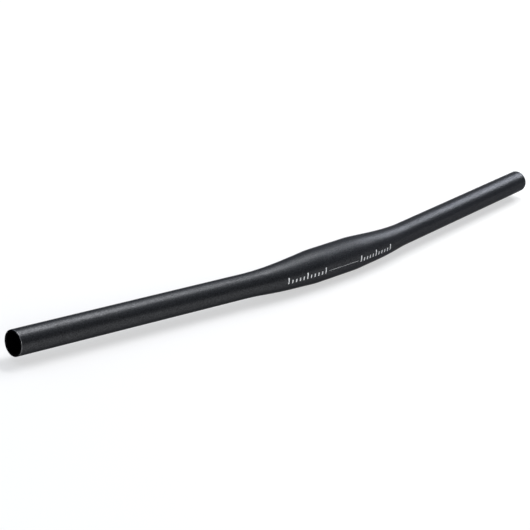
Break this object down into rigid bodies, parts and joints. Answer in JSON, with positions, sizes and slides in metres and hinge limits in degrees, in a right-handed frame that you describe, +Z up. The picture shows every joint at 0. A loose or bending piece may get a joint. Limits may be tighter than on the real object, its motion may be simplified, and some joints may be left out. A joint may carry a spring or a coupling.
{
  "type": "flat handlebar",
  "caption": "Flat bicycle handlebar: a butted tube with a thick clamp seat in the middle, tapers to slim grips swept back on both sides, and open ends.",
  "frame": {"origin": "centre of the clamp seat, on its axis", "axes": "+X along the clamp seat's axis, +Y back towards the rider, the way the grips sweep, +Z up"},
  "size_m": [0.7422, 0.0573, 0.0318],
  "materials": {
    "black_anodised": "bead-blasted, satin black anodised"
  },
  "bodies": {
    "root": {"handlebar": "black_anodised"}
  },
  "joints": []
}
